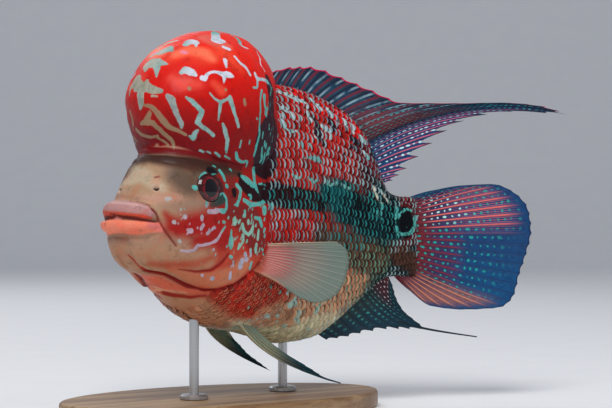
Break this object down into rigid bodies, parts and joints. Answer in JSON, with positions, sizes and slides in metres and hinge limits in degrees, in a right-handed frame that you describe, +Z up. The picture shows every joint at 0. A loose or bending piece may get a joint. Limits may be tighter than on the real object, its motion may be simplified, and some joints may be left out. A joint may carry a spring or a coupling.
{
  "type": "flowerhorn cichlid model",
  "caption": "Life-size still model of a swimming flowerhorn cichlid with a round forehead hump and long trailing fins, held up by rods on an oval base.",
  "frame": {"origin": "centre of the underside of the stand's oval base", "axes": "+Z up, -X the way the fish faces, +Y the fish's right side"},
  "size_m": [0.2572, 0.1048, 0.1756],
  "materials": {
    "spotted_skin": "wet glossy painted fish skin, red, black and pale blue",
    "hump_skin": "wet glossy red skin with pale blue strokes",
    "lip_flesh": "soft satin salmon flesh",
    "eye": "high gloss, red iris and black pupil",
    "fin_membrane": "dark blue translucent membrane over pale rays",
    "pale_fin_membrane": "pinkish translucent membrane",
    "stand_wood": "satin",
    "stand_steel": "brushed"
  },
  "bodies": {
    "root": {"head": "spotted_skin", "trunk": "spotted_skin", "tail_stalk": "spotted_skin", "gill_cover_left": "spotted_skin", "gill_cover_right": "spotted_skin", "nuchal_hump": "hump_skin", "upper_lip": "lip_flesh", "lower_lip": "lip_flesh", "eye_left": "eye", "eye_right": "eye", "dorsal_fin": "fin_membrane", "anal_fin": "fin_membrane", "caudal_fin": "fin_membrane", "pelvic_fin_left": "fin_membrane", "pelvic_fin_right": "fin_membrane", "pectoral_fin_left": "pale_fin_membrane", "pectoral_fin_right": "pale_fin_membrane", "stand_base": "stand_wood", "stand_rod_front": "stand_steel", "stand_rod_rear": "stand_steel"}
  },
  "joints": []
}
